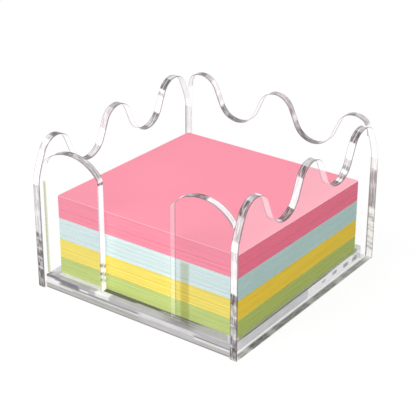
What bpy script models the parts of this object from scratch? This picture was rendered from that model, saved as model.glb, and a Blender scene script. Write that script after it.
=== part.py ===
"""Sticky note holder: a clear acrylic box with wavy rims, holding a stack of square note pads.

Metres, +Z up. X runs across the open front, -Y is the front, and the origin is at the middle
of the footprint, on the table.
"""
import math

import bmesh
import bpy
from mathutils import Matrix

# Square notes that the box is made for
pad_side = 0.0762
pad_corner_radius = 0.0003

# Room round the stack as it lies in the box
left_clearance = 0.0036
right_clearance = 0.0004
front_clearance = 0.0004
back_clearance = 0.0044

# Clear sheet of the walls, the thicker slab of the base, and the gap that stands for a glued joint
sheet_thickness = 0.0030
base_thickness = 0.0056
joint_gap = 0.0003

# How far the base and the front panels lie behind the front ends of the side walls
base_setback = 0.0009
panel_setback = 0.0015

# The box outside
outer_width = pad_side + left_clearance + right_clearance + 2 * sheet_thickness
outer_depth = pad_side + front_clearance + back_clearance + 2 * sheet_thickness + panel_setback

# Wavy rim of the side walls and the back wall
crest_height = 0.0560
valley_height = 0.0409
wave_pitch = 0.0338
crest_radius = 0.0073
valley_radius = 0.0084

# The two front corner panels with their round tops, and the opening between them
opening_width = 0.0300
shoulder_height = 0.0483
hump_rise = 0.0063

# Note pads, from the bottom of the stack to the top, each as high as at its front right corner
green_height = 0.0060
yellow_height = 0.0072
mint_height = 0.0080
pink_lower_height = 0.0031
pink_upper_height = 0.0050
pad_heights = (green_height, yellow_height, mint_height, pink_lower_height, pink_upper_height)
stack_foot = base_thickness + joint_gap
stack_height = sum(pad_heights) + (len(pad_heights) - 1) * joint_gap

# How much lower the top of the stack lies at its glued back edge than at its front, and at its left
# than at its right
back_settling = 0.0027
left_settling = 0.0006

# Smoothness of the round stretches
arc_step = math.radians(6)

# Finishes: colour, roughness, metallic, alpha
finishes = {
    "clear_acrylic": ((0.93, 0.96, 0.95), 0.05, 0.0, 0.25),
    "pink_paper": ((1.00, 0.34, 0.45), 0.85, 0.0, 1.0),
    "mint_paper": ((0.62, 0.82, 0.78), 0.85, 0.0, 1.0),
    "yellow_paper": ((1.00, 0.76, 0.06), 0.85, 0.0, 1.0),
    "green_paper": ((0.56, 0.72, 0.22), 0.85, 0.0, 1.0),
}


def clear_scene():
    """Removes whatever the scene held before."""
    for old in list(bpy.data.objects):
        bpy.data.objects.remove(old, do_unlink=True)


def make_finish(name):
    """One Principled material with the photographed colour."""
    colour, roughness, metallic, alpha = finishes[name]
    material = bpy.data.materials.new(name)
    material.use_nodes = True
    shader = material.node_tree.nodes["Principled BSDF"]
    shader.inputs["Base Color"].default_value = (*colour, 1.0)
    shader.inputs["Roughness"].default_value = roughness
    shader.inputs["Metallic"].default_value = metallic
    shader.inputs["Alpha"].default_value = alpha
    return material


def flank_angle():
    """Slope of the straight flank that joins a crest arc to a valley arc, by bisection."""
    rise = crest_height - valley_height
    half_pitch = wave_pitch / 2
    radii = crest_radius + valley_radius
    low, high = 0.0, math.pi / 2
    for _ in range(60):
        angle = (low + high) / 2
        # The flank's rise and run at this slope must use up what the two arcs leave
        flank_run = half_pitch - radii * math.sin(angle)
        flank_rise = rise - radii * (1 - math.cos(angle))
        if flank_rise * math.cos(angle) > flank_run * math.sin(angle):
            low = angle
        else:
            high = angle
    return angle


def arc(centre_x, centre_z, radius, start, end):
    """Points along an arc, at the common angular step. Angles turn from +X towards +Z."""
    steps = max(2, math.ceil(abs(end - start) / arc_step))
    return [
        (
            centre_x + radius * math.cos(start + (end - start) * i / steps),
            centre_z + radius * math.sin(start + (end - start) * i / steps),
        )
        for i in range(steps + 1)
    ]


def wave_points(length):
    """The wavy rim from one end of a wall to the other, with a crest in the middle."""
    slope = flank_angle()
    crest_z = crest_height - crest_radius
    valley_z = valley_height + valley_radius
    points = []
    turns = math.ceil(length / wave_pitch)
    for i in range(-turns, turns + 1):
        crest_x = i * wave_pitch
        points += arc(crest_x, crest_z, crest_radius, math.pi / 2 + slope, math.pi / 2 - slope)
        valley_x = crest_x + wave_pitch / 2
        points += arc(valley_x, valley_z, valley_radius, -math.pi / 2 - slope, -math.pi / 2 + slope)
    return clip_rim(points, length)


def clip_rim(points, length):
    """Keeps the part of a rim that lies on the wall and ends it exactly at the wall's two ends."""
    half = length / 2
    kept = []
    for (x0, z0), (x1, z1) in zip(points, points[1:]):
        for edge in (-half, half):
            if x0 < edge < x1:
                kept.append((edge, z0 + (z1 - z0) * (edge - x0) / (x1 - x0)))
        if -half < x1 < half:
            kept.append((x1, z1))
    return kept


def sheet_from_outline(name, outline, thickness, material, collection):
    """A flat piece cut from sheet: the outline lies in the piece's own XZ plane."""
    curve = bpy.data.curves.new(name, "CURVE")
    curve.dimensions = "2D"
    curve.fill_mode = "BOTH"
    curve.extrude = thickness / 2
    spline = curve.splines.new("POLY")
    spline.points.add(len(outline) - 1)
    for point, (x, z) in zip(spline.points, outline):
        point.co = (x, z, 0.0, 1.0)
    spline.use_cyclic_u = True
    flat = bpy.data.objects.new(name + "_outline", curve)
    collection.objects.link(flat)
    bpy.context.view_layer.update()
    evaluated = flat.evaluated_get(bpy.context.evaluated_depsgraph_get())
    mesh = bpy.data.meshes.new_from_object(evaluated)
    bpy.data.objects.remove(flat, do_unlink=True)
    body = bmesh.new()
    body.from_mesh(mesh)
    bmesh.ops.remove_doubles(body, verts=body.verts, dist=joint_gap / 100)
    bmesh.ops.transform(body, matrix=Matrix.Rotation(math.pi / 2, 4, "X"), verts=body.verts)
    bmesh.ops.recalc_face_normals(body, faces=body.faces)
    body.to_mesh(mesh)
    body.free()
    mesh.name = name
    mesh.materials.clear()
    mesh.materials.append(material)
    piece = bpy.data.objects.new(name, mesh)
    collection.objects.link(piece)
    return piece


def wavy_wall(name, length, foot, material, collection):
    """A wall whose rim waves: its foot is at the given height."""
    outline = [(length / 2, foot), (-length / 2, foot)] + wave_points(length)
    return sheet_from_outline(name, outline, sheet_thickness, material, collection)


def hump(start_x, end_x):
    """The round top of a corner panel: an arc over a chord between its two shoulders."""
    half_chord = (end_x - start_x) / 2
    radius = (half_chord**2 + hump_rise**2) / (2 * hump_rise)
    reach = math.atan2(half_chord, radius - hump_rise)
    middle_x = (start_x + end_x) / 2
    centre_z = shoulder_height + hump_rise - radius
    return arc(middle_x, centre_z, radius, math.pi / 2 + reach, math.pi / 2 - reach)


def corner_panel(name, start_x, end_x, foot, material, collection):
    """One of the two front panels, upright at both ends, with a round top."""
    outline = [(end_x, foot), (start_x, foot)] + hump(start_x, end_x)
    return sheet_from_outline(name, outline, sheet_thickness, material, collection)


def block(name, size, material, collection):
    """A box of the given size about its own middle."""
    mesh = bpy.data.meshes.new(name)
    body = bmesh.new()
    bmesh.ops.create_cube(body, size=1.0)
    bmesh.ops.scale(body, vec=size, verts=body.verts)
    body.to_mesh(mesh)
    body.free()
    mesh.materials.append(material)
    piece = bpy.data.objects.new(name, mesh)
    collection.objects.link(piece)
    return piece


def settled(x, y, z):
    """Height to which a level height sinks in the settled stack, at a place about the pads' middle."""
    from_right = 0.5 - x / pad_side
    from_front = 0.5 + y / pad_side
    kept = 1 - (back_settling * from_front + left_settling * from_right) / stack_height
    return stack_foot + (z - stack_foot) * kept


def note_pad(name, height, foot, material, collection):
    """One pad of square notes, its four upright corners very slightly eased."""
    pad = block(name, (pad_side, pad_side, height), material, collection)
    stack_x = (left_clearance - right_clearance) / 2
    stack_y = outer_depth / 2 - sheet_thickness - back_clearance - pad_side / 2
    pad.location = (stack_x, stack_y, foot + height / 2)
    body = bmesh.new()
    body.from_mesh(pad.data)
    upright = [
        edge
        for edge in body.edges
        if abs(edge.verts[0].co.z - edge.verts[1].co.z) > height / 2
    ]
    bmesh.ops.bevel(body, geom=upright, offset=pad_corner_radius, segments=2, affect="EDGES", profile=0.5)
    for point in body.verts:
        point.co.z = settled(point.co.x, point.co.y, pad.location.z + point.co.z) - pad.location.z
    body.to_mesh(pad.data)
    body.free()
    return pad


def build_box(collection, acrylic):
    """The base slab, the three wavy walls and the two front corner panels."""
    side_x = outer_width / 2 - sheet_thickness / 2
    inner_width = outer_width - 2 * sheet_thickness - 2 * joint_gap

    base_depth = outer_depth - base_setback - sheet_thickness - joint_gap
    base = block("base_plate", (inner_width, base_depth, base_thickness), acrylic, collection)
    base.location = (0.0, -outer_depth / 2 + base_setback + base_depth / 2, base_thickness / 2)

    for name, side in (("left_wall", -1), ("right_wall", 1)):
        wall = wavy_wall(name, outer_depth, 0.0, acrylic, collection)
        wall.rotation_euler = (0.0, 0.0, math.pi / 2)
        wall.location = (side * side_x, 0.0, 0.0)

    back = wavy_wall("back_wall", inner_width, 0.0, acrylic, collection)
    back.location = (0.0, outer_depth / 2 - sheet_thickness / 2, 0.0)

    far, near = inner_width / 2, opening_width / 2
    for name, start_x, end_x in (("front_left_panel", -far, -near), ("front_right_panel", near, far)):
        panel = corner_panel(name, start_x, end_x, base_thickness + joint_gap, acrylic, collection)
        panel.location = (0.0, -outer_depth / 2 + panel_setback + sheet_thickness / 2, 0.0)


def build_stack(collection, papers):
    """The note pads, one on another, each a joint gap above what carries it."""
    foot = stack_foot
    for name, height, paper in (
        ("green_pad", green_height, "green_paper"),
        ("yellow_pad", yellow_height, "yellow_paper"),
        ("mint_pad", mint_height, "mint_paper"),
        ("pink_lower_pad", pink_lower_height, "pink_paper"),
        ("pink_upper_pad", pink_upper_height, "pink_paper"),
    ):
        note_pad(name, height, foot, papers[paper], collection)
        foot += height + joint_gap


def main():
    clear_scene()
    holder = bpy.data.collections.new("sticky_note_holder")
    bpy.context.scene.collection.children.link(holder)
    materials = {name: make_finish(name) for name in finishes}
    build_box(holder, materials["clear_acrylic"])
    build_stack(holder, materials)
    bpy.context.view_layer.update()


main()
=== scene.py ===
"""Clear note holder with wavy rims, and its stack of note pads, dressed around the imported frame.

The holder is cut from clear sheet: a thick base slab, two side walls and a back wall with a
waving rim, and two corner panels that leave the front open. Five pads of square notes lie in it.
Every mesh is worked out with numpy in the frame's own metres, so nothing is moved afterwards.
"""
from __future__ import annotations

import logging
import math
from dataclasses import dataclass
from enum import Enum
from functools import partial
from typing import Any, Callable, Sequence

import bpy
import numpy as np
from mathutils import Matrix, Vector

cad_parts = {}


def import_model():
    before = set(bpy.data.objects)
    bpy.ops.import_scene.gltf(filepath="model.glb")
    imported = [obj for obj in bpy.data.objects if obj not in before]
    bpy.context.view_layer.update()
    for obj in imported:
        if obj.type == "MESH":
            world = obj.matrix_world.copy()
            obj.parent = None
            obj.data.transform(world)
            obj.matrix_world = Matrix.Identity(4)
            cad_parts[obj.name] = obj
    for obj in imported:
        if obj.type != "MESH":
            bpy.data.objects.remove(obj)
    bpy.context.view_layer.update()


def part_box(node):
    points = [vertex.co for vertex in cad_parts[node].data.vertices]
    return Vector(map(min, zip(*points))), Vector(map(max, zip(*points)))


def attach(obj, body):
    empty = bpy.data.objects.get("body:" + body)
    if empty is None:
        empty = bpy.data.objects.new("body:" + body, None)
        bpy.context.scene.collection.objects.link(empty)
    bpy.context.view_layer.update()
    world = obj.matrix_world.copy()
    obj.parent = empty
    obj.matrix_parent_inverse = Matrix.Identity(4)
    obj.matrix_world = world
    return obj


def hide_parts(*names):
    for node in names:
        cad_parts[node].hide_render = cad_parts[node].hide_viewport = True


MM = 0.001
# An edge between faces that turn by more than this is shaded sharp
SHARP = math.radians(25.0)
WHITE = (1.0, 1.0, 1.0, 1.0)
LOG = logging.getLogger("note_holder")

Array = np.ndarray
Colour = tuple[float, float, float, float]
NodeAdder = Callable[..., bpy.types.Node]


def srgb(code: str) -> Colour:
    """Turns a screen colour into the linear colour that a shader takes.

    Args:
        code: Six hexadecimal digits, as read off the screen.

    Returns:
        Linear red, green, blue and an alpha of one.
    """
    values = [int(code[i:i + 2], 16) / 255 for i in (0, 2, 4)]
    red, green, blue = (v / 12.92 if v <= 0.04045 else ((v + 0.055) / 1.055) ** 2.4 for v in values)
    return red, green, blue, 1.0


def add_node(tree: bpy.types.NodeTree, kind: str, inputs: dict[str, Any] | Sequence[Any] = (),
             **settings: Any) -> bpy.types.Node:
    """Adds one node, sets its own settings, and fills or links its inputs.

    Args:
        tree: The tree that takes the node.
        kind: The node's type without its ShaderNode prefix.
        inputs: Values to set, and sockets or nodes to link, by the inputs' names or in the order of those
            in use. A node stands for its first output in use.
        **settings: Properties of the node itself.

    Returns:
        The new node.
    """
    node = tree.nodes.new("ShaderNode" + kind)
    for key, value in settings.items():
        setattr(node, key, value)
    in_use = [socket for socket in node.inputs if socket.enabled]
    for key, value in inputs.items() if isinstance(inputs, dict) else enumerate(inputs):
        socket = node.inputs[key] if isinstance(key, str) else in_use[key]
        if isinstance(value, bpy.types.Node):
            value = next(output for output in value.outputs if output.enabled)
        if isinstance(value, bpy.types.NodeSocket):
            tree.links.new(value, socket)
        else:
            socket.default_value = value
    return node


def empty_material(name: str) -> tuple[bpy.types.Material, NodeAdder]:
    """A material with nothing in its tree.

    Args:
        name: The material's name.

    Returns:
        The material, and the function that adds a node to its tree.
    """
    material = bpy.data.materials.new(name)
    material.use_nodes = True
    material.node_tree.nodes.clear()
    return material, partial(add_node, material.node_tree)


def seen_rays(add: NodeAdder) -> bpy.types.Node:
    """Tells the rays that bring what is seen, straight or by gloss and glass, from those that bring light.

    Args:
        add: Adds a node to the tree.

    Returns:
        A node that gives one for the first and nothing for the others.
    """
    rays = add("LightPath").outputs
    bent = add("Math", (rays["Is Glossy Ray"], rays["Is Transmission Ray"]), operation="MAXIMUM")
    return add("Math", (rays["Is Camera Ray"], bent), operation="MAXIMUM")


class Papers(Enum):
    """The stack's four colours of notepaper: its material's name, its face, the darker tone between sheets,
    and the deeper tone painted as shade on the side away from the window, where the light has passed
    through the paper."""

    PINK = ("pink_paper", "FF9BAF", "EC738F", "FF7997")
    MINT = ("mint_paper", "E1F2F2", "B3D0CB", "BDDCD8")
    YELLOW = ("yellow_paper", "FFEE78", "E6BC2C", "FFDD34")
    GREEN = ("green_paper", "D0E08A", "A0B95A", "BCCB66")


@dataclass(frozen=True)
class NotepaperFinish:
    """Uncoated notepaper. Fine level lines on the sides show the single sheets; the top is soft and flat.

    Attributes:
        paper: Which of the stack's colours it has.
        line_pitch: Height of one drawn line: several sheets of 0.1 mm, so that it shows.
        line_length: How far a line runs on before it fades into another.
        pack_pitch: Height of one of the wider and fainter bands, about ten sheets.
        pack_length: How far a band runs on.
        mottle: Width of one cloud of the mottle.
        line_depth: How much the lines darken the sides.
        pack_depth: How much the bands darken them.
        lip_highlight: How much a painted highlight lightens the upper edge of a pad, where the mesh says so.
    """

    paper: Papers
    line_pitch: float = 0.35 * MM
    line_length: float = 16.7 * MM
    pack_pitch: float = 1.11 * MM
    pack_length: float = 40.0 * MM
    mottle: float = 22.2 * MM
    line_depth: float = 0.34
    pack_depth: float = 0.18
    lip_highlight: float = 0.6

    def build(self) -> bpy.types.Material:
        """Makes the material.

        Returns:
            Notepaper with sheet lines on its upright sides and a faint mottle everywhere.
        """
        name, face, shade, deep = self.paper.value
        material, add = empty_material(name)
        place = add("TexCoord").outputs["Object"]
        # Long thin streaks: stretched far along the sheets, and short across them
        along, across = 1 / self.line_length, 1 / self.line_pitch
        stretched = add("Mapping", {"Vector": place, "Scale": (along, along, across)})
        sheets = add("TexNoise", {"Vector": stretched, "Scale": 1.0, "Detail": 2.0})
        along, across = 1 / self.pack_length, 1 / self.pack_pitch
        coarse = add("Mapping", {"Vector": place, "Scale": (along, along, across)})
        packs = add("TexNoise", {"Vector": coarse, "Scale": 1.0, "Detail": 1.0})
        lines = add("MapRange", (sheets, 0.40, 0.70))
        bands = add("MapRange", (packs, 0.35, 0.75))
        mottle = add("TexNoise", {"Vector": place, "Scale": 1 / self.mottle, "Detail": 3.0})
        normal = add("SeparateXYZ", (add("NewGeometry").outputs["True Normal"],)).outputs
        flat = add("Math", (normal["Z"],), operation="ABSOLUTE")
        upright = add("Math", (1.0, flat), operation="SUBTRACT")
        right = add("Clamp", (normal["X"],))
        # The lines show on upright sides alone, and more strongly on the right one: painted shade on the side
        # away from the light
        strength = add("Math", (right, 0.6, upright), operation="MULTIPLY_ADD")
        fine = add("Math", (lines, self.line_depth), operation="MULTIPLY")
        wide = add("Math", (bands, self.pack_depth), operation="MULTIPLY")
        depth = add("Math", (strength, add("Math", (fine, wide), operation="ADD")), operation="MULTIPLY")
        # The right side takes the deeper tone: painted shade, as on the side away from the light
        colour = add("Mix", (right, srgb(face), srgb(deep)), data_type="RGBA")
        colour = add("Mix", (depth, colour, srgb(shade)), data_type="RGBA")
        # A painted highlight lightens the upper edge of each pad, where it would catch the light
        lip_highlight = add("Attribute", attribute_name="lip_highlight").outputs["Fac"]
        lit = add("Math", (lip_highlight, self.lip_highlight), operation="MULTIPLY")
        colour = add("Mix", (lit, colour, srgb("FFF4F2")), data_type="RGBA")
        light = add("MapRange", {"Value": mottle, "To Min": 0.97, "To Max": 1.03})
        colour = add("Mix", (1.0, colour, light), data_type="RGBA", blend_type="MULTIPLY")
        bump = add("Bump", {"Height": sheets, "Strength": 0.25, "Distance": 0.05 * MM})
        shader = add("BsdfPrincipled", {
            "Base Color": colour, "Roughness": 0.85, "Specular IOR Level": 0.2, "Normal": bump})
        add("OutputMaterial", {"Surface": shader})
        return material


@dataclass(frozen=True)
class ClearFaceFinish:
    """The flat face of cast acrylic sheet, smooth from its mould: there is almost nothing to see but a weak
    gloss, and a slight grey in its shade.

    Attributes:
        name: The material's name.
        shadow_tint: What it leaves of the lamps' light.
        gloss: How strongly it mirrors above the level of the stack's top.
        low_gloss: How strongly it mirrors below that, where it meets no bright room.
        edge: That level, halfway between front and back.
        slope: How fast that level sinks towards the back.
        band: Where an upright tinted strip begins and ends, far off the sheet where there is none.
        band_tint: The strip's colour as seen through the sheet; the default one is painted shade.
        band_top: The height up to which it reaches.
    """

    name: str = "cast_acrylic_wall"
    shadow_tint: str = "FCFCFC"
    gloss: float = 0.5
    low_gloss: float = 0.5
    edge: float = 38.2 * MM
    slope: float = 0.035
    band: tuple[float, float] = (1.0, 1.0)
    band_tint: str = "E2DECB"
    band_top: float = 29.5 * MM

    def build(self) -> bpy.types.Material:
        """Makes the material.

        Returns:
            A see-through face that also lets the lamps' light pass.
        """
        material, add = empty_material(self.name)
        rays = add("LightPath").outputs
        shading = add("Math", (rays["Is Shadow Ray"], rays["Is Diffuse Ray"]), operation="MAXIMUM")
        place = add("SeparateXYZ", (add("TexCoord").outputs["Object"],)).outputs
        near = add("Math", (1.0, add("NewGeometry").outputs["Backfacing"]), operation="SUBTRACT")
        # The strip is one inside and fades over a millimetre at its sides and its top
        inside = add("Math", (
            add("Math", (place["X"], self.band[0]), operation="SUBTRACT"),
            add("Math", (self.band[1], place["X"]), operation="SUBTRACT")), operation="MINIMUM")
        below = add("Math", (self.band_top, place["Z"]), operation="SUBTRACT")
        inside = add("Math", (inside, below), operation="MINIMUM")
        band = add("MapRange", (inside, -0.4 * MM, 0.6 * MM))
        tinted = add("Math", (band, near), operation="MULTIPLY")
        seen = add("Mix", (tinted, WHITE, srgb(self.band_tint)), data_type="RGBA")
        colour = add("Mix", (shading, seen, srgb(self.shadow_tint)), data_type="RGBA")
        through = add("BsdfTransparent", {"Color": colour})
        shine = add("BsdfGlossy", {"Color": WHITE, "Roughness": 0.02})
        # Reflection grows from 4% face on to all of it edge on, by the fifth power, on the nearer face alone
        facing = add("LayerWeight", {"Blend": 0.5}).outputs["Facing"]
        grown = add("Math", (facing, 5.0), operation="POWER")
        grown = add("Math", (grown, 0.96, 0.04), operation="MULTIPLY_ADD")
        line = add("Math", (place["Y"], self.slope, place["Z"]), operation="MULTIPLY_ADD")
        level = add("MapRange", (line, self.edge - 0.3 * MM, self.edge, self.low_gloss, self.gloss))
        level = add("Math", (level, near), operation="MULTIPLY")
        amount = add("Math", (grown, level), operation="MULTIPLY")
        add("OutputMaterial", {"Surface": add("MixShader", (amount, through, shine))})
        return material


@dataclass(frozen=True)
class PolishedEdgeFinish:
    """The cut and polished edge of acrylic sheet, with painted reflections of the room: bright in places,
    dark grey or mauve in others. The mesh says where: its tone runs from clear to dark, its warmth
    from grey to rose.

    Attributes:
        name: The material's name.
        clear: The colour of its bright stretches.
        grey: Its darkest cold colour.
        rose: Its darkest warm colour.
        arris: The colour of the thin lines at its two arrises.
        streaks: How strongly the streaks break up a dark stretch.
        streak_length: How far a streak runs along the edge.
        streak_width: How wide it is, as a share of the sheet's thickness.
    """

    name: str = "polished_acrylic_edge"
    clear: str = "FFFDFE"
    grey: str = "3C3335"
    rose: str = "8E747B"
    arris: str = "75696D"
    streaks: float = 0.42
    streak_length: float = 3.85 * MM
    streak_width: float = 0.2

    def build(self) -> bpy.types.Material:
        """Makes the material.

        Returns:
            The edge's finish: streaks along it, and a thin line at each arris.
        """
        material, add = empty_material(self.name)
        tone, warmth, across, along, front, back, lines = (
            add("Attribute", attribute_name=name).outputs["Fac"]
            for name in ("tone", "warmth", "across", "along", "front_cover", "back_cover", "line_cover"))
        # Streaks: a noise that changes slowly along the edge and quickly across it
        ribbon = add("CombineXYZ", (add("Math", (along, 1 / self.streak_length), operation="MULTIPLY"),
                                    add("Math", (across, 1 / self.streak_width), operation="MULTIPLY")))
        streaks = add("TexNoise", {"Vector": ribbon, "Scale": 1.0, "Detail": 3.0})
        streak = add("MapRange", (streaks, 0.38, 0.62))
        # A dark stretch is broken by light streaks, and a clear one carries only a trace of dark ones
        deep = add("Math", (streak, self.streaks, 0.89 - self.streaks / 2), operation="MULTIPLY_ADD")
        deep = add("Math", (tone, deep), operation="MULTIPLY")
        faint = add("Math", (streak, 0.04), operation="MULTIPLY")
        shade = add("Clamp", (add("Math", (deep, faint), operation="ADD"),))
        dark = add("Mix", (warmth, srgb(self.grey), srgb(self.rose)), data_type="RGBA")
        colour = add("Mix", (shade, srgb(self.clear), dark), data_type="RGBA")
        off_middle = add("Math", (across, 0.5), operation="SUBTRACT")
        off_middle = add("Math", (off_middle,), operation="ABSOLUTE")
        line = add("MapRange", (off_middle, 0.31, 0.40))
        strong = add("Math", (add("Math", (lines, 1.6), operation="MULTIPLY"), 0.85), operation="MINIMUM")
        edging = add("Math", (line, strong), operation="MULTIPLY")
        colour = add("Mix", (edging, colour, srgb(self.arris)), data_type="RGBA")
        # A painted glow makes a bright stretch white on whichever side it lies, as light carried out of the
        # sheet would; every stretch glows a little
        bright = add("Math", (1.0, shade), operation="SUBTRACT")
        plain = add("Math", (1.0, edging), operation="SUBTRACT")
        glow = add("Math", (bright, plain), operation="MULTIPLY")
        glow = add("Math", (glow, 0.36, 0.08), operation="MULTIPLY_ADD")
        cover = add("Mix", (add("NewGeometry").outputs["Backfacing"], front, back))
        lined = add("Math", (line, lines), operation="MULTIPLY")
        cover = add("Math", (cover, lined), operation="MAXIMUM")
        # The edge stops little of the lamps' light
        unlit = add("LightPath").outputs["Is Shadow Ray"]
        kept = add("Math", (unlit, -0.85, 1.0), operation="MULTIPLY_ADD")
        cover = add("Math", (cover, kept), operation="MULTIPLY")
        body = add("BsdfPrincipled", {
            "Base Color": colour, "Roughness": 0.25, "Specular IOR Level": 0.2,
            "Emission Color": colour, "Emission Strength": glow})
        through = add("BsdfTransparent", {"Color": WHITE})
        add("OutputMaterial", {"Surface": add("MixShader", (cover, through, body))})
        return material


@dataclass(frozen=True)
class SlabFinish:
    """Thick cast acrylic, polished all round: clear, but so deep that it shows the room and the stack in
    patches, painted here as reflection and shade. The mesh says which colour shows where, and how
    solidly.

    Attributes:
        name: The material's name.
        streak_length: How far a faint streak runs on.
        streak_height: How high it is.
    """

    name: str = "cast_acrylic_slab"
    streak_length: float = 8.33 * MM
    streak_height: float = 0.714 * MM

    def build(self) -> bpy.types.Material:
        """Makes the material.

        Returns:
            A see-through finish with the patches laid in it, faintly streaked, and a gloss.
        """
        material, add = empty_material(self.name)
        place = add("TexCoord").outputs["Object"]
        along, across = 1 / self.streak_length, 1 / self.streak_height
        stretched = add("Mapping", {"Vector": place, "Scale": (along, along, across)})
        cloud = add("TexNoise", {"Vector": stretched, "Scale": 1.0, "Detail": 3.0})
        light = add("MapRange", (cloud, 0.3, 0.7, 0.74, 0.92))
        patches = add("Attribute", attribute_name="body").outputs
        colour = add("Mix", (1.0, patches["Color"], light), data_type="RGBA", blend_type="MULTIPLY")
        # From its far side it is almost clear, and it stops little of the lamps' light
        backside = add("NewGeometry").outputs["Backfacing"]
        near = add("Math", (backside, -0.9, 1.0), operation="MULTIPLY_ADD")
        cover = add("Math", (patches["Alpha"], near), operation="MULTIPLY")
        unlit = add("LightPath").outputs["Is Shadow Ray"]
        kept = add("Math", (unlit, -0.8, 1.0), operation="MULTIPLY_ADD")
        cover = add("Math", (cover, kept), operation="MULTIPLY")
        # A faint painted glow: the slab gives off a little light of its own colour
        body = add("BsdfPrincipled", {
            "Base Color": colour, "Roughness": 0.3, "Specular IOR Level": 0.15,
            "Emission Color": colour, "Emission Strength": 0.05})
        through = add("BsdfTransparent", {"Color": srgb("FAFAFB")})
        add("OutputMaterial", {"Surface": add("MixShader", (cover, through, body))})
        return material


class Facing(Enum):
    """The way in which a sheet's own length runs: across the holder, or from its front to its back."""

    ACROSS = "across"
    DEEP = "deep"


@dataclass(frozen=True)
class Patch:
    """One stretch of an edge that looks dark with painted reflection: from, to and softness in millimetres
    along it.

    Attributes:
        start: Where the stretch begins.
        end: Where it ends.
        tone: How dark it is, from 0 to 1.
        warmth: From grey, 0, to rose, 1.
        slant: How much further on it lies at one side of the edge than at the other.
        soft: The length over which it fades at each end.
    """

    start: float
    end: float
    tone: float = 0.9
    warmth: float = 0.05
    slant: float = 0.6
    soft: float = 0.5

    def weight(self, along: Array, across: Array) -> Array:
        """How strongly the stretch covers each place: one inside, falling straight to nothing outside.

        Args:
            along: Places along the edge in metres.
            across: Places across it, from 0 to 1.

        Returns:
            Weights from 0 to 1.
        """
        place = along / MM + self.slant * (across - 0.5)
        reach = np.minimum(place - self.start, self.end - place)
        return np.clip(reach / self.soft + 0.5, 0.0, 1.0)


@dataclass(frozen=True)
class Edge:
    """One stretch of a sheet's cut edge: its base look and the patches of painted reflection laid over it.

    Attributes:
        patches: The patches, each laid over those before it.
        tone: How dark the rest is.
        warmth: How rosy the rest is.
        front: How solid it looks from outside.
        back: How solid it looks through the sheet, from its far side.
        lines: How solid the thin lines at its two arrises look, the one at the lower place first.
    """

    patches: tuple[Patch, ...] = ()
    tone: float = 0.02
    warmth: float = 0.15
    front: float = 0.92
    back: float = 0.3
    lines: tuple[float, float] = (0.5, 0.5)

    def shade(self, along: Array, across: Array) -> tuple[Array, Array]:
        """Lays the patches over the base look.

        Args:
            along: Places along the edge in metres.
            across: Places across it, from 0 to 1.

        Returns:
            Tone and warmth at each place.
        """
        tone = np.full(along.shape, self.tone)
        warmth = np.full(along.shape, self.warmth)
        for patch in self.patches:
            weight = patch.weight(along, across)
            tone = tone * (1 - weight) + patch.tone * weight
            warmth = warmth * (1 - weight) + patch.warmth * weight
        return tone, warmth


@dataclass(frozen=True)
class WavyRim:
    """The rim that the three tall walls share: round crests and valleys joined by straight flanks."""

    crest_height: float = 55.99 * MM
    valley_height: float = 40.9 * MM
    pitch: float = 33.8 * MM
    crest_radius: float = 7.3 * MM
    valley_radius: float = 8.4 * MM

    def flank_angle(self) -> float:
        """Slope of the flanks: where the two arcs and the straight use up half a pitch and the whole rise.

        Returns:
            The slope in radians, found by halving an interval.
        """
        low, high = 0.0, math.pi / 2
        radii = self.crest_radius + self.valley_radius
        for _ in range(50):
            angle = (low + high) / 2
            run = self.pitch / 2 - radii * math.sin(angle)
            rise = self.crest_height - self.valley_height - radii * (1 - math.cos(angle))
            low, high = (angle, high) if rise * math.cos(angle) > run * math.sin(angle) else (low, angle)
        return angle

    def height(self, s: Array) -> Array:
        """Height of the rim at a distance from the wall's middle, where a crest stands.

        The distance is folded into half a pitch. Near 0 the height is on the crest's circle, near
        half a pitch on the valley's, and between them on the straight that touches both.

        Args:
            s: Distances in metres.

        Returns:
            Heights in metres.
        """
        half = self.pitch / 2
        slope = self.flank_angle()
        folded = np.abs((np.abs(s) + half) % self.pitch - half)
        crest_end = self.crest_radius * math.sin(slope)
        valley_end = half - self.valley_radius * math.sin(slope)
        crest_drop = np.sqrt(np.clip(self.crest_radius ** 2 - folded ** 2, 0, None))
        crest = self.crest_height - self.crest_radius + crest_drop
        valley_drop = np.sqrt(np.clip(self.valley_radius ** 2 - (half - folded) ** 2, 0, None))
        valley = self.valley_height + self.valley_radius - valley_drop
        shoulder = self.crest_height - self.crest_radius * (1 - math.cos(slope))
        flank = shoulder - (folded - crest_end) * math.tan(slope)
        return np.where(folded < crest_end, crest, np.where(folded > valley_end, valley, flank))


@dataclass(frozen=True)
class HumpRim:
    """The round top of a corner panel: one arc over the chord between its two shoulders."""

    start: float
    end: float
    top: float = 54.6 * MM
    shoulder: float = 48.3 * MM

    def height(self, s: Array) -> Array:
        """Height of the arc: the circle through both shoulders and the top.

        Args:
            s: Places across the holder in metres.

        Returns:
            Heights in metres.
        """
        half = (self.end - self.start) / 2
        rise = self.top - self.shoulder
        radius = (half ** 2 + rise ** 2) / (2 * rise)
        offset = s - (self.start + self.end) / 2
        return self.top - radius + np.sqrt(np.clip(radius ** 2 - offset ** 2, 0, None))


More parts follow.
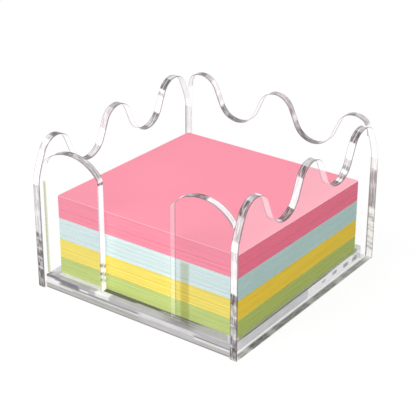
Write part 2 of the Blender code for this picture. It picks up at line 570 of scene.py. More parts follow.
def make_object(name: str, points: Array, faces: Sequence[Sequence[int]], slots: Sequence[int],
                materials: Sequence[bpy.types.Material], attributes: dict[str, Array],
                smooth: bool = True) -> bpy.types.Object:
    """Puts whole arrays into a mesh object at the origin.

    Args:
        name: The piece's name.
        points: One row of x, y, z for each point.
        faces: The point numbers of each face, counter-clockwise from outside.
        slots: The material slot of each face.
        materials: The materials, by slot.
        attributes: A value, or four of a colour, at each point, by name.
        smooth: Whether it is shaded round, with sharp edges where the faces turn far enough.

    Returns:
        The linked object.
    """
    mesh = bpy.data.meshes.new(name)
    mesh.from_pydata(points.tolist(), [], faces)
    for material in materials:
        mesh.materials.append(material)
    mesh.polygons.foreach_set("material_index", np.asarray(slots, np.int32))
    mesh.polygons.foreach_set("use_smooth", np.full(len(faces), smooth))
    for key, values in attributes.items():
        kind, part = ("FLOAT", "value") if values.ndim == 1 else ("FLOAT_COLOR", "color")
        mesh.attributes.new(key, kind, "POINT").data.foreach_set(part, values.ravel().astype(np.float32))
    mesh.update()
    if smooth:
        mesh.set_sharp_from_angle(angle=SHARP)
    thing = bpy.data.objects.new(name, mesh)
    bpy.context.scene.collection.objects.link(thing)
    return thing


def ring_faces(size: int, rings: int) -> Array:
    """The faces that join closed rings of points, each ring to the next.

    Args:
        size: How many points a ring has.
        rings: How many rings there are, one after another.

    Returns:
        Rows of four point numbers: here, its neighbour, and the two beside them on the next ring.
    """
    here = np.arange(size) + np.arange(rings - 1)[:, None] * size
    after = np.roll(here, -1, 1)
    return np.stack([here, after, after + size, here + size], 2).reshape(-1, 4)


def title(node: str, kind: str) -> str:
    """A piece's name: its node's and what it is, in capitalised words without spaces."""
    return node.replace("_", " ").title().replace(" ", "") + kind


@dataclass
class ClearSheet:
    """One flat piece of clear sheet with a shaped rim, chamfered and polished all round.

    Attributes:
        node: The frame's node that it stands for.
        facing: The way in which its length runs.
        shape: Gives the rim's height at places along the sheet.
        rim: The look of its rim, measured along it from a wavy rim's middle or a hump's start.
        start: The look of the upright end where its length starts, measured upwards.
        end: The look of the other upright end.
        foot: The look of the edge that it stands on.
        chamfer: How much of each arris is broken.
        step: Distance between the outline's points.
        rounding: Length over which the rim turns down into the upright ends.
    """

    node: str
    facing: Facing
    shape: WavyRim | HumpRim
    rim: Edge = Edge()
    start: Edge = Edge()
    end: Edge = Edge()
    foot: Edge = Edge(tone=0.5, front=0.4, back=0.45)
    chamfer: float = 0.22 * MM
    step: float = 0.2 * MM
    rounding: float = 2.2 * MM

    def outline(self, start: float, end: float, foot: float) -> tuple[Array, Array, list[int]]:
        """The closed outline: rim, far end going down, foot going back, and near end going up.

        The outward direction at a point is square to its two neighbouring lines; at a corner it is
        longer than one, so that both sides move in by the same amount.

        Args:
            start: Lowest place along the sheet.
            end: Highest place along the sheet.
            foot: Height of the foot.

        Returns:
            Points, outward directions, and how many points each of the four stretches has.
        """
        count = max(8, round((end - start) / self.step))
        along = np.linspace(start, end, count + 1)
        # The corners where the rim meets the upright ends are rounded over
        left = np.clip(1 - np.minimum(along - start, end - along) / self.rounding, 0, 1)
        heights = self.shape.height(along) - 1.5 * self.rounding * (1 - np.sqrt(1 - left ** 2))
        rise = max(4, round((heights[-1] - foot) / self.step / 2))
        down = np.linspace(heights[-1], foot, rise + 1)[1:-1]
        up = np.linspace(foot, heights[0], rise + 1)[1:-1]
        parts = [
            np.stack([along, heights], 1),
            np.stack([np.full(rise - 1, end), down], 1),
            np.stack([along[::-1], np.full(count + 1, foot)], 1),
            np.stack([np.full(rise - 1, start), up], 1),
        ]
        ring = np.concatenate(parts)
        ahead = np.roll(ring, -1, 0) - ring
        ahead /= np.linalg.norm(ahead, axis=1, keepdims=True)
        out = np.stack([-ahead[:, 1], ahead[:, 0]], 1)
        both = out + np.roll(out, 1, 0)
        both /= np.maximum((both * out).sum(1, keepdims=True), 0.2)
        return ring, both, [len(part) for part in parts]

    def looks(self, ring: Array, parts: list[int], across: Array) -> dict[str, Array]:
        """What the edge finish reads at each point of every ring round the outline.

        The distance along the rim is its real length, counted from the middle of a wavy rim and from
        the start of a hump; along the ends it is the height, and along the foot the place.

        Args:
            ring: The outline's points.
            parts: How many points each stretch has.
            across: Each ring's place across the edge.

        Returns:
            Values by attribute name, ring after ring.
        """
        rim, down, foot, up = np.split(np.arange(len(ring)), np.cumsum(parts)[:-1])
        steps = np.hypot(*np.diff(ring[rim], axis=0).T)
        length = np.concatenate([[0.0], np.cumsum(steps)])
        along = ring[:, 1].copy()
        along[rim] = length - (length[-1] / 2 if isinstance(self.shape, WavyRim) else 0.0)
        along[foot] = ring[foot, 0]
        wide = np.broadcast_to(across[:, None], (len(across), len(ring)))
        long = np.broadcast_to(along, wide.shape)
        keys = ("tone", "warmth", "front_cover", "back_cover", "line_cover")
        values = {key: np.zeros(wide.shape) for key in keys}
        for edge, at in ((self.rim, rim), (self.end, down), (self.foot, foot), (self.start, up)):
            values["tone"][:, at], values["warmth"][:, at] = edge.shade(long[:, at], wide[:, at])
            values["front_cover"][:, at] = edge.front
            values["back_cover"][:, at] = edge.back
            values["line_cover"][:, at] = edge.lines[0] + (edge.lines[1] - edge.lines[0]) * wide[:, at]
        values["along"], values["across"] = long, wide
        return {key: value.ravel() for key, value in values.items()}

    def build(self, face: bpy.types.Material, edge: bpy.types.Material,
              under: bpy.types.Material) -> bpy.types.Object:
        """Makes the sheet: four rings round the outline, from one face over the edge to the other.

        Args:
            face: The finish of the flat faces.
            edge: The finish of the cut edges.
            under: The finish of the edge that it stands on.

        Returns:
            The sheet, riding on the box and standing for its node.
        """
        low, high = (np.array(corner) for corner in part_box(self.node))
        run, thick = (0, 1) if self.facing is Facing.ACROSS else (1, 0)
        ring, out, parts = self.outline(low[run], high[run], low[2])
        count = len(ring)
        depth = np.array([low[thick], low[thick] + self.chamfer, high[thick] - self.chamfer, high[thick]])
        inset = np.array([self.chamfer, 0.0, 0.0, self.chamfer])
        flat = ring[None] - out[None] * inset[:, None, None]
        points = np.zeros((4, count, 3))
        points[..., run] = flat[..., 0]
        points[..., thick] = depth[:, None]
        points[..., 2] = flat[..., 1]
        here = np.arange(count)
        bands = ring_faces(count, 4)
        # The flat face is a row of upright strips from rim to foot; the outer two take in the ends' points
        top = np.arange(parts[0] - 1)
        foot = parts[0] + parts[1] + parts[2] - 1 - top
        strips = np.stack([top, foot, foot - 1, top + 1], 1).tolist()
        strips[0] = [0, *range(count - 1, count - 1 - parts[3], -1), *strips[0][1:]]
        strips[-1] = [*strips[-1][:3], *range(parts[0] + parts[1] - 1, parts[0] - 1, -1), strips[-1][3]]
        far = [[index + 3 * count for index in reversed(strip)] for strip in strips]
        faces = bands.tolist() + strips + far
        if self.facing is Facing.DEEP:
            faces = [item[::-1] for item in faces]
        standing = (here >= parts[0] + parts[1]) & (here < sum(parts[:3]))
        slots = [*np.tile(np.where(standing, 2, 1), 3), *[0] * (2 * len(strips))]
        attributes = self.looks(ring, parts, np.array([0.0, 0.1, 0.9, 1.0]))
        sheet = make_object(title(self.node, "Sheet"), points.reshape(-1, 3), faces, slots,
                            (face, edge, under), attributes)
        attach(sheet, "box")
        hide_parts(self.node)
        return sheet


@dataclass(frozen=True)
class Mark:
    """One painted patch of light and shade in the slab, in millimetres along a side and down from the top
    edge.

    Attributes:
        start: Where it begins along the side.
        end: Where it ends.
        low: How far down it begins; less than nothing is on the top, in from the edge.
        high: How far down it ends.
        colour: Its screen colour.
        cover: How solid it looks.
        slant: How much further along it lies for each millimetre down.
        soft: The length over which it fades along the side.
        brink: The length over which it fades downwards.
    """

    start: float
    end: float
    low: float
    high: float
    colour: str
    cover: float = 0.9
    slant: float = 0.0
    soft: float = 1.0
    brink: float = 0.25

    def weight(self, along: Array, down: Array) -> Array:
        """How strongly the patch covers each place: one inside, falling straight to nothing outside.

        Args:
            along: Places along the side in millimetres.
            down: Places downwards in millimetres.

        Returns:
            Weights from 0 to 1.
        """
        place = along - self.slant * (down - (self.low + self.high) / 2)
        sideways = np.clip(np.minimum(place - self.start, self.end - place) / self.soft + 0.5, 0, 1)
        upwards = np.clip(np.minimum(down - self.low, self.high - down) / self.brink + 0.5, 0, 1)
        return sideways * upwards


# The painted light and shade in the slab's front and in its right side, each mark laid over those before it
FRONT_MARKS = (
    Mark(-45, 45, -6, 1.9, "B4B2B7", 0.8), Mark(-45, 45, 2.4, 5.7, "BEBCBA", 0.85),
    Mark(-36, -17, -4.4, -1.9, "EDEDEA", 0.8), Mark(-36, -18, -2.0, -1.6, "A5A5A2"),
    Mark(-45, -38.5, -2.6, -0.5, "6C6468"), Mark(-45, -33.5, -0.5, 0.9, "756D72"),
    Mark(-42, -36, 0.9, 3.4, "FFFFFF"), Mark(-38, -29, 1.4, 3.4, "FFFFFF", slant=1.5),
    Mark(-34, -24, 0.1, 1.9, "77737A", slant=1.2), Mark(-25, -20, -1.0, 1.2, "A9A6AD"),
    Mark(-24.5, -20.5, 1.1, 1.9, "F6F6F6"), Mark(-19.5, -14.4, -1.2, 2.2, "BDBBC3"),
    Mark(-17.5, -11.2, -4.4, 1.5, "FAFAFA", 0.95), Mark(12, 25, -3.4, 0.8, "9C9B9E", soft=4),
    Mark(16, 23.5, -1.3, 0.6, "888689", soft=3), Mark(2, 26, 1.1, 2.8, "E6E5E4", soft=4),
    Mark(2, 26, 2.9, 4.7, "C9C7CC", soft=5), Mark(-34, 1.5, 1.9, 2.35, "6F6C66"),
    Mark(-34, 2, 2.45, 3.0, "E4E3DE"), Mark(-34, 2, 3.6, 3.9, "9C9A94"), Mark(25, 40, 2.1, 2.6, "6F6C66"),
    Mark(25, 40, 2.7, 3.5, "F1F0EE"), Mark(-45, 45, 4.9, 5.45, "8F8C8A"),
    # Dark olive on the top in front of the pads: painted shadow of the stack, tinted by painted reflection of
    # the green pad
    Mark(-16.5, -1, -4.6, -2.2, "4F4D38", soft=2), Mark(-3, 9.5, -4.6, -2.8, "4F4D38", soft=3),
    Mark(9, 26, -4.6, -3.5, "5B5A44", soft=5), Mark(9, 23, -2.9, -2.5, "67665A", soft=5))
RIGHT_MARKS = (
    Mark(-45, 4.5, 1.4, 5.7, "F0EEF4", 0.85), Mark(4.5, 45, 1.4, 5.7, "FFFFFF", 0.3),
    # Green and dark olive below the pads: painted reflection of the green pad, and its painted shadow
    Mark(-45, 4.5, 3.2, 3.6, "FFFFFF"), Mark(-38.5, 38, -0.5, 1.2, "A3B35F"),
    Mark(-38.5, 20, 1.1, 1.7, "3A3826", soft=8), Mark(14, 16, 2.8, 3.8, "D2D0D5"),
    Mark(21, 24, 2.4, 3.8, "C6C4C9"), Mark(28.5, 32, 2.6, 4.1, "BDBBC1"),
    Mark(35, 38.5, 2.6, 4.4, "B4B2B8"), Mark(-45, 45, 5.2, 5.7, "FFFFFF"))


@dataclass
class BaseSlab:
    """The thick slab that the pads lie on: a box with every edge chamfered, and painted reflection and shade
    in its front and right side.

    Attributes:
        node: The frame's node that it stands for.
        chamfer: How much of each edge is broken.
        border: How far the top's fine rings reach in from its edge.
        border_rings: How many rings lie on the top.
        side_rings: How many lie on the sides.
        cuts: How many stretches the front, right, back and left sides are cut into.
        plain: The colour where no mark lies, and how solid it looks.
    """

    node: str = "base_plate"
    chamfer: float = 0.25 * MM
    border: float = 6.0 * MM
    border_rings: int = 32
    side_rings: int = 26
    cuts: tuple[int, ...] = (170, 170, 40, 40)
    plain: tuple[str, float] = ("CFCED2", 0.5)

    def build(self, face: bpy.types.Material) -> bpy.types.Object:
        """Makes the slab from square rings: over the top's border, round the edge and down the sides.

        A ring runs along four sides, each from one corner of the drawn-in square to the next, and a
        point lies its share of the way between them. Its place downwards counts from the top edge, and
        those on the top are less than nothing.

        Args:
            face: The slab's finish.

        Returns:
            The slab, riding on the box and standing for its node.
        """
        low, high = (np.array(corner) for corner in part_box(self.node))
        top = high[2]
        border = np.linspace(self.border, self.chamfer, self.border_rings)
        sides = np.linspace(top - self.chamfer, low[2] + self.chamfer, self.side_rings)
        inset = np.concatenate([border, np.zeros(self.side_rings), [self.chamfer]])
        level = np.concatenate([np.full(self.border_rings, top), sides, [low[2]]])
        down = np.concatenate([-border, top - level[self.border_rings:]]) / MM
        share = np.concatenate([np.linspace(0, 1, count, endpoint=False) for count in self.cuts])
        side = np.repeat(np.arange(4), self.cuts)
        x0, x1, y0, y1 = low[0] + inset, high[0] - inset, low[1] + inset, high[1] - inset
        corner = np.array([(x0, y0), (x1, y0), (x1, y1), (x0, y1), (x0, y0)])
        plan = corner[side] + (corner[side + 1] - corner[side]) * share[:, None, None]
        points = np.zeros((len(inset), len(share), 3))
        points[..., :2] = plan.transpose(2, 0, 1)
        points[..., 2] = level[:, None]
        wide = np.broadcast_to(down[:, None], points.shape[:2])
        body = np.empty((*wide.shape, 4))
        body[:] = (*srgb(self.plain[0])[:3], self.plain[1])
        # Lays the painted reflection and shade of the marks into the colour and cover of each point
        for axis, marks in enumerate((FRONT_MARKS, RIGHT_MARKS)):
            for mark in marks:
                weight = mark.weight(points[..., axis] / MM, wide) * (side == axis)
                body += weight[..., None] * (np.array([*srgb(mark.colour)[:3], mark.cover]) - body)
        # These rings go downwards, so their faces are turned over
        rings = ring_faces(len(share), len(inset))[:, [1, 0, 3, 2]]
        first = np.arange(len(share))
        faces = [*rings.tolist(), first.tolist(), (first[::-1] + len(share) * (len(inset) - 1)).tolist()]
        slab = make_object("BaseSlab", points.reshape(-1, 3), faces, [0] * len(faces), (face,),
                           {"body": body.reshape(-1, 4)})
        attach(slab, "box")
        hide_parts(self.node)
        return slab


@dataclass(frozen=True)
class Settling:
    """How the stack has settled: its top slopes, lower at the glued back edge than at the open front.

    Attributes:
        rest: Height of the stack's foot.
        top: Height of its top at its highest corner, the front right one.
        back: How much lower the top lies at the back.
        left: How much lower it lies at the left.
    """

    rest: float
    top: float
    back: float = 2.7 * MM
    left: float = 0.6 * MM

    def height(self, x: Array, y: Array, z: Array) -> Array:
        """Brings level heights down onto the sloping stack, each in proportion to its height above the foot.

        Args:
            x: Places across, from -1 at the left edge to 1 at the right.
            y: Places deep, from -1 at the front edge to 1 at the back.
            z: Level heights in metres.

        Returns:
            Real heights in metres.
        """
        kept = 1 - (self.back * (1 + y) / 2 + self.left * (1 - x) / 2) / (self.top - self.rest)
        return self.rest + (z - self.rest) * kept

    def level(self, low: float) -> float:
        """The level height that sinks to the given height at the lowest corner, the back left one."""
        kept = 1 - (self.back + self.left) / (self.top - self.rest)
        return self.rest + (low - self.rest) / kept


@dataclass
class NotePad:
    """One pad of square notes: many single sheets whose edges don't quite line up.

    Attributes:
        node: The frame's node that it stands for.
        body: The body that it rides on.
        paper: Its colour.
        seed: Starts its random draws.
        corner: Radius of its upright corners.
        sheet_step: Distance between its rings, which is more than one sheet, so that they show.
        stagger: How far a ring is shifted sideways, as a standard deviation.
        drawn: How much further in every second ring lies.
        ragged: The most by which any ring lies further in.
        sink: How far its foot reaches down into the seam under it.
        lip_highlight: How much painted highlight its upper edge takes, where it would catch the light.
        sides: How many stretches a straight side has.
        turns: How many stretches a corner has.
        cap_rings: How many rings each flat end has inside its edge.
        cap_edge: How far out the outermost of them lies, as a share of the whole.
    """

    node: str
    body: str
    paper: Papers
    seed: int
    corner: float = 0.4 * MM
    sheet_step: float = 0.3 * MM
    stagger: float = 0.04 * MM
    drawn: float = 0.04 * MM
    ragged: float = 0.03 * MM
    sink: float = 0.17 * MM
    lip_highlight: float = 0.15
    sides: int = 24
    turns: int = 4
    cap_rings: int = 5
    cap_edge: float = 0.992

    def ring(self, half: float) -> Array:
        """A square with rounded corners, going round it counter-clockwise.

        The front side and its right corner are laid out, and then turned by a quarter three times.

        Args:
            half: Half the side.

        Returns:
            Rows of x and y about the middle.
        """
        straight = np.linspace(-half + self.corner, half - self.corner, self.sides + 1)[:-1]
        turn = np.linspace(-math.pi / 2, 0, self.turns + 1)
        arc = np.stack([half - self.corner + self.corner * np.cos(turn),
                        -half + self.corner + self.corner * np.sin(turn)], 1)
        side = np.concatenate([np.stack([straight, np.full(self.sides, -half)], 1), arc])
        return np.concatenate([
            side @ np.array([[math.cos(a), math.sin(a)], [-math.sin(a), math.cos(a)]])
            for a in (0, math.pi / 2, math.pi, 3 * math.pi / 2)])

    def build(self, settling: Settling, finish: bpy.types.Material) -> bpy.types.Object:
        """Makes the pad: rings of sheet edges stacked up, closed by a flat top and bottom of narrowing rings.

        Args:
            settling: How the stack has settled.
            finish: The paper.

        Returns:
            The pad, riding on its own body and standing for its node.
        """
        low, high = (np.array(corner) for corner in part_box(self.node))
        middle, half = (low + high)[:2] / 2, (high[0] - low[0]) / 2
        rng = np.random.default_rng(self.seed)
        count = max(4, round((high[2] - low[2]) / self.sheet_step))
        levels = np.linspace(settling.level(low[2] - self.sink), high[2], count + 1)
        # Every second ring is a sheet's edge and the others lie a little further in
        sway = rng.normal(0.0, self.stagger, (count + 1, 2))
        pull = np.where(np.arange(count + 1) % 2, self.drawn, 0.0) + rng.uniform(0, self.ragged, count + 1)
        narrow = np.linspace(0.0, self.cap_edge, self.cap_rings + 1)[1:]
        share = np.concatenate([narrow, np.ones(count + 1), narrow[::-1]])
        # The rings of the flat ends take their height, pull and sway from the edge next to them
        at = np.clip(np.arange(-self.cap_rings, count + 1 + self.cap_rings), 0, count)
        ring = self.ring(half)
        plan = ring[None] * (share - pull[at] / half)[:, None, None] + sway[at, None] * share[:, None, None]
        plan = np.clip(plan, -half, half)
        # The last two points close the fans at the middle of the bottom and of the top
        size, total = len(ring), plan[..., 0].size
        plan = np.concatenate([plan.reshape(-1, 2), np.zeros((2, 2))])
        level = np.concatenate([np.repeat(levels[at], size), levels[[0, -1]]])
        height = settling.height(plan[:, 0] / half, plan[:, 1] / half, level)
        points = np.column_stack([plan + middle, height])
        here = np.arange(size)
        after = np.roll(here, -1)
        under = np.column_stack([np.full(size, total), after, here])
        over = np.column_stack([np.full(size, total + 1), here + total - size, after + total - size])
        faces = [*ring_faces(size, len(share)).tolist(), *under.tolist(), *over.tolist()]
        lip_highlight = np.zeros(len(points))
        brim = (self.cap_rings + count) * size
        lip_highlight[brim:brim + size] = self.lip_highlight
        pad = make_object(title(self.node, "Sheets"), points, faces, [0] * len(faces), (finish,),
                          {"lip_highlight": lip_highlight}, smooth=False)
        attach(pad, self.body)
        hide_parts(self.node)
        return pad


@dataclass
class Stack:
    """The five pads, from the bottom to the top."""

    pads: tuple[NotePad, ...] = (
        NotePad("green_pad", "green_notes", Papers.GREEN, 1),
        NotePad("yellow_pad", "yellow_notes", Papers.YELLOW, 2),
        NotePad("mint_pad", "mint_notes", Papers.MINT, 3, lip_highlight=1.0),
        NotePad("pink_lower_pad", "pink_lower_notes", Papers.PINK, 4),
        NotePad("pink_upper_pad", "pink_upper_notes", Papers.PINK, 5, lip_highlight=0.8),
    )

    def build(self) -> None:
        """Makes every pad on the settled stack and reports it."""
        settling = Settling(rest=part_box("green_pad")[0].z, top=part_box("pink_upper_pad")[1].z)
        finishes = {paper: NotepaperFinish(paper).build() for paper in Papers}
        for pad in self.pads:
            made = pad.build(settling, finishes[pad.paper])
            LOG.info("%s: %d faces of %s", made.name, len(made.data.polygons), pad.paper.value[0])


# The looks of the cut edges, with their painted reflections: rims first, then the upright ends and the foot
# that show
LEFT_RIM = Edge((
    Patch(-66, -57, 0.18, 0.8), Patch(-57, -54, 0.45, 0.3), Patch(-52.5, -50.5, 0.6, 0.2),
    Patch(-50.5, -43.5, 0.95), Patch(-29, -23, 0.95), Patch(-23, -17.5, 0.6, 0.25),
    Patch(-11.5, -6, 0.55, 0.95), Patch(-6, -3, 0.6, 0.7), Patch(-3, 5, 0.85, 0.3), Patch(20, 25.5, 0.97),
    Patch(25.5, 28, 0.65, 0.1), Patch(28, 32.5, 0.85), Patch(38.7, 40.3, 0.55), Patch(41.3, 46.6, 0.97),
    Patch(46.6, 51, 0.62, 0.5), Patch(51, 54, 0.8), Patch(54, 66, 0.5, 0.5)))
BACK_RIM = Edge((
    Patch(-62, -52, 0.5, 0.5), Patch(-52, -46.8, 0.85, 0.1), Patch(-46.8, -43.5, 0.75, 0.9),
    Patch(-43, -39, 0.18, 0.1), Patch(-38, -35, 0.3), Patch(-33.5, -29.5, 0.8, 0.2),
    Patch(-29.5, -20, 0.99), Patch(-3, 0.5, 0.8), Patch(0.5, 5, 0.7, 0.7), Patch(5, 8, 0.7, 0.9),
    Patch(8, 11, 0.85, 0.6), Patch(11, 13.5, 0.35, 1.0), Patch(13.5, 16, 0.75, 0.7),
    Patch(16, 27, 0.98, 0.2), Patch(27, 30, 0.6), Patch(44, 49, 0.9), Patch(49, 55, 0.65, 0.6)))
RIGHT_RIM = Edge((
    Patch(-66, -57, 0.58, 0.4), Patch(-57.5, -51.5, 0.9), Patch(-51.5, -47, 0.65),
    Patch(-32, -25.5, 0.5, 0.2), Patch(-25.5, -18.5, 0.99), Patch(-18, -8, 0.36, 0.05),
    Patch(-8, -3.5, 0.9), Patch(-3.5, 2, 0.65), Patch(20, 26, 0.95), Patch(26, 27.5, 0.35),
    Patch(27.5, 30, 0.85), Patch(30, 31.2, 0.2), Patch(31.2, 33, 0.75), Patch(33, 35.5, 0.5),
    Patch(41, 46, 0.97), Patch(46, 50, 0.7)))
LEFT_FRONT = Edge((
    Patch(-1, 5.6, 0.95, 0.1), Patch(5.6, 7.6, 1.0, 0.1), Patch(8.3, 11.6, 0.97, 0.1),
    Patch(12.2, 15.3, 0.93, 0.1), Patch(15.9, 19.2, 0.9, 0.1), Patch(19.8, 21.8, 0.88, 0.1),
    Patch(46, 51, 0.42, 0.6)), tone=0.5, warmth=0.15)
RIGHT_FRONT = Edge((
    Patch(-1, 1.2, 0.66), Patch(1.2, 5.2, 1.0, 0.1), Patch(5.2, 9.2, 0.85, 0.1, 1.5),
    Patch(9.2, 13, 0.7, 0.1), Patch(13, 17.2, 0.8, 0.1, 2), Patch(17.2, 21, 0.68, 0.1),
    Patch(21, 25, 0.97, 0.1), Patch(37, 42, 0.4, 0.4), Patch(42, 47, 0.5, 0.4),
    Patch(47, 56, 0.6, 0.4)), tone=0.28, warmth=0.4)
RIGHT_BACK = Edge((
    Patch(20.5, 36, 0.82, 0.7), Patch(36, 56, 0.3, 0.3), Patch(3.6, 4.4, 0.7), Patch(5.6, 6.2, 0.6),
    Patch(7.8, 8.4, 0.5), Patch(11, 11.6, 0.5), Patch(12.6, 13.1, 0.45),
    Patch(15.5, 17.5, 0.6, 0, 1.5)), tone=0.0, back=0.85, lines=(0.7, 0.7))
RIGHT_FOOT = Edge((
    Patch(-42.5, -36, 0.8, 0.2, 0, 4), Patch(-36, -22, 0.97, 0.0, 0, 5), Patch(-22, 4, 0.9, 0.1, 0, 6),
    Patch(4, 22, 0.84, 0.2, 0, 6), Patch(22, 43, 0.78, 0.3, 0, 8)), front=0.6, back=0.95)
LEFT_HUMP = Edge((Patch(7.5, 16, 0.97), Patch(16, 21, 0.7, 0.2), Patch(21, 29, 0.7, 0.4)))
LEFT_HUMP_END = Edge((
    Patch(9.7, 10.7, 0.8, slant=1.5), Patch(12, 13, 0.8, slant=1.5), Patch(15.2, 16.5, 0.8, slant=1.5),
    Patch(46.5, 48.5, 0.85)), tone=0.0, lines=(0.3, 0.25))
RIGHT_HUMP = Edge((Patch(7, 17, 0.95), Patch(17, 29, 0.3, 0.3)))
# An edge that lies against another piece and doesn't show
HIDDEN = Edge(front=0.0, back=0.0, lines=(0.0, 0.0))

# Where a corner panel begins beside the open front and where it ends at the wall, from the middle
NEAR, FAR = 15.0 * MM, 39.8 * MM


@dataclass
class Holder:
    """The clear box: its slab, three wavy walls and two corner panels, each with the looks of its cut edges.

    Attributes:
        walls: The left, right and back walls.
        panels: The left and right corner panels.
    """

    walls: tuple[ClearSheet, ...] = (
        ClearSheet("left_wall", Facing.DEEP, WavyRim(), LEFT_RIM, start=LEFT_FRONT,
                   end=Edge(tone=0.5, back=0.5, lines=(0.95, 0.95))),
        ClearSheet("right_wall", Facing.DEEP, WavyRim(), RIGHT_RIM, start=RIGHT_FRONT, end=RIGHT_BACK,
                   foot=RIGHT_FOOT),
        ClearSheet("back_wall", Facing.ACROSS, WavyRim(), BACK_RIM, start=Edge(back=0.1, lines=(0.35, 0.2)),
                   end=HIDDEN),
    )
    panels: tuple[ClearSheet, ...] = (
        ClearSheet("front_left_panel", Facing.ACROSS, HumpRim(-FAR, -NEAR), LEFT_HUMP,
                   start=Edge(back=0.0, lines=(0.4, 0.0)), end=LEFT_HUMP_END, foot=HIDDEN, rounding=0.4 * MM),
        ClearSheet("front_right_panel", Facing.ACROSS, HumpRim(NEAR, FAR), RIGHT_HUMP,
                   start=Edge(back=0.2, lines=(0.9, 0.5)), end=HIDDEN, foot=HIDDEN, rounding=0.4 * MM),
    )

    def build(self) -> None:
        """Makes every piece of the box and reports it."""
        edge = PolishedEdgeFinish().build()
        slab = BaseSlab().build(SlabFinish().build())
        LOG.info("%s: %d faces", slab.name, len(slab.data.polygons))
        wall_face = ClearFaceFinish().build()
        # The right wall mirrors the bright room above the level of the stack's top, and little below it
        right_face = ClearFaceFinish("cast_acrylic_right_wall", gloss=2.3, low_gloss=0.3).build()
        # The left panel shows an olive strip at its glued end, and the right one a dim strip of painted shade
        # over the pads
        left_face = ClearFaceFinish(
            "cast_acrylic_left_panel", shadow_tint="F9F9FA", band=(-40.6 * MM, -38.4 * MM),
            band_tint="CBCDAE", band_top=42.0 * MM).build()
        panel_face = ClearFaceFinish(
            "cast_acrylic_right_panel", shadow_tint="F9F9FA", band=(19.2 * MM, 22.8 * MM)).build()
        # The edges that the sheets stand on take a dark olive grey: painted shade under the holder, tinted by
        # the green pad
        foot = PolishedEdgeFinish(
            "polished_acrylic_foot", clear="F4F4F1", grey="393B30", rose="7C7D72", arris="F2F2EF",
            streaks=0.15).build()
        for face, sheets in ((wall_face, (self.walls[0], self.walls[2])), (right_face, self.walls[1:2]),
                             (left_face, self.panels[:1]), (panel_face, self.panels[1:])):
            for sheet in sheets:
                made = sheet.build(face, edge, foot)
                LOG.info("%s: %d faces", made.name, len(made.data.polygons))


@dataclass(frozen=True)
class StudioFinish:
    """Plain white paper under the holder: it keeps the shadow, and is white where there is none.

    Attributes:
        name: The material's name.
        paper: Its colour as it lights the holder.
        seen_paper: Its darker colour as the eye sees it, under the white that it adds.
        lift: How much white it adds.
    """

    name: str = "studio_floor"
    paper: str = "BCBCBC"
    seen_paper: str = "5A5A5A"
    lift: float = 0.92

    def build(self) -> bpy.types.Material:
        """Makes the material.

        Returns:
            A matt floor that adds its own white for the camera, gloss and glass.
        """
        material, add = empty_material(self.name)
        seen = seen_rays(add)
        paper = add("Mix", (seen, srgb(self.paper), srgb(self.seen_paper)), data_type="RGBA")
        glow = add("Math", (seen, self.lift), operation="MULTIPLY")
        both = add("AddShader", (add("BsdfDiffuse", {"Color": paper}),
                                 add("Emission", {"Color": WHITE, "Strength": glow})))
        add("OutputMaterial", {"Surface": both})
        return material


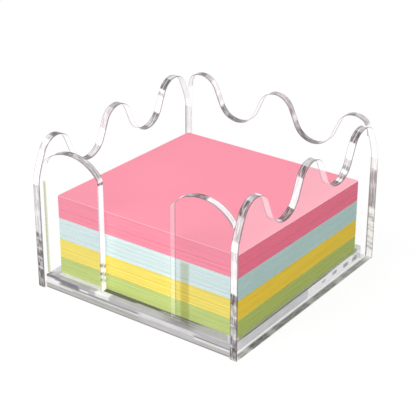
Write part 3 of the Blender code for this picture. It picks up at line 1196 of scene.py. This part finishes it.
@dataclass
class Studio:
    """Floor, white surroundings, lamps and the camera at the photograph's place.

    Attributes:
        camera_place: Where the camera stands, in metres.
        azimuth: Its turn round the holder from the front, in degrees.
        elevation: Its height over the table, in degrees.
        roll: How far it leans, in degrees.
        lens: Its focal length in millimetres.
        aim: The place that both lamps face.
        soft_light: Strength of the light from all round.
    """

    camera_place: tuple[float, float, float] = (0.258896, -0.360876, 0.247453)
    azimuth: float = 35.697
    elevation: float = 26.518
    roll: float = 0.19
    lens: float = 120.455
    aim: tuple[float, float, float] = (0.0, 0.0, 0.02)
    soft_light: float = 0.55

    def build(self) -> None:
        """Makes the whole studio."""
        self.floor()
        self.surroundings()
        self.lamp("KeyLamp", (-0.36, -0.86, 0.84), size=0.7, power=9.8)
        self.lamp("FillLamp", (1.0, -0.35, 0.45), size=0.9, power=3.1)
        self.camera()

    def floor(self) -> None:
        """Lays a large square of floor a hair under the holder, so that no two faces lie in one plane."""
        reach, under = 3.0, -0.1 * MM
        square = np.array([(x, y, under) for x, y in (
            (-reach, -reach), (reach, -reach), (reach, reach), (-reach, reach))])
        floor = make_object("Floor", square, [range(4)], [0], (StudioFinish().build(),), {}, smooth=False)

    def surroundings(self) -> None:
        """Fills the world with soft light, and shows it white to the camera, gloss and glass."""
        world = bpy.data.worlds.new("StudioWorld")
        bpy.context.scene.world = world
        world.use_nodes = True
        world.node_tree.nodes.clear()
        add = partial(add_node, world.node_tree)
        soft = add("Background", {"Color": WHITE, "Strength": self.soft_light})
        white = add("Background", {"Color": WHITE, "Strength": 1.0})
        add("OutputWorld", {"Surface": add("MixShader", (seen_rays(add), soft, white))})

    def lamp(self, name: str, place: tuple[float, float, float], size: float, power: float) -> None:
        """Hangs one square lamp that faces the holder.

        Args:
            name: The lamp's name.
            place: Where it hangs, in metres.
            size: Its side in metres.
            power: Its power in watts.
        """
        data = bpy.data.lights.new(name, "AREA")
        data.size = size
        data.energy = power
        lamp = bpy.data.objects.new(name, data)
        away = Vector(place) - Vector(self.aim)
        lamp.matrix_world = Matrix.Translation(place) @ away.to_track_quat("Z", "Y").to_matrix().to_4x4()
        bpy.context.scene.collection.objects.link(lamp)

    def camera(self) -> None:
        """Sets up the camera: it looks back along its azimuth and elevation, turned by its roll."""
        data = bpy.data.cameras.new("PhotoCamera")
        data.sensor_width = 36.0
        data.lens = self.lens
        data.clip_start = 0.01
        turn, tilt, roll = (math.radians(v) for v in (self.azimuth, self.elevation, self.roll))
        back = Vector((math.sin(turn) * math.cos(tilt), -math.cos(turn) * math.cos(tilt), math.sin(tilt)))
        level = (-back).cross(Vector((0, 0, 1))).normalized()
        upright = level.cross(-back)
        right = math.cos(roll) * level + math.sin(roll) * upright
        up = math.cos(roll) * upright - math.sin(roll) * level
        place = Matrix((right, up, back)).transposed().to_4x4()
        place.translation = Vector(self.camera_place)
        camera = bpy.data.objects.new("PhotoCamera", data)
        camera.matrix_world = place
        bpy.context.scene.collection.objects.link(camera)
        bpy.context.scene.camera = camera


def main() -> None:
    """Builds the holder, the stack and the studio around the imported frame."""
    logging.basicConfig(level=logging.INFO, format="%(name)s: %(message)s")
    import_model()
    scene = bpy.context.scene
    scene.view_settings.view_transform = "Standard"
    Holder().build()
    Stack().build()
    Studio().build()


if __name__ == "__main__":
    main()
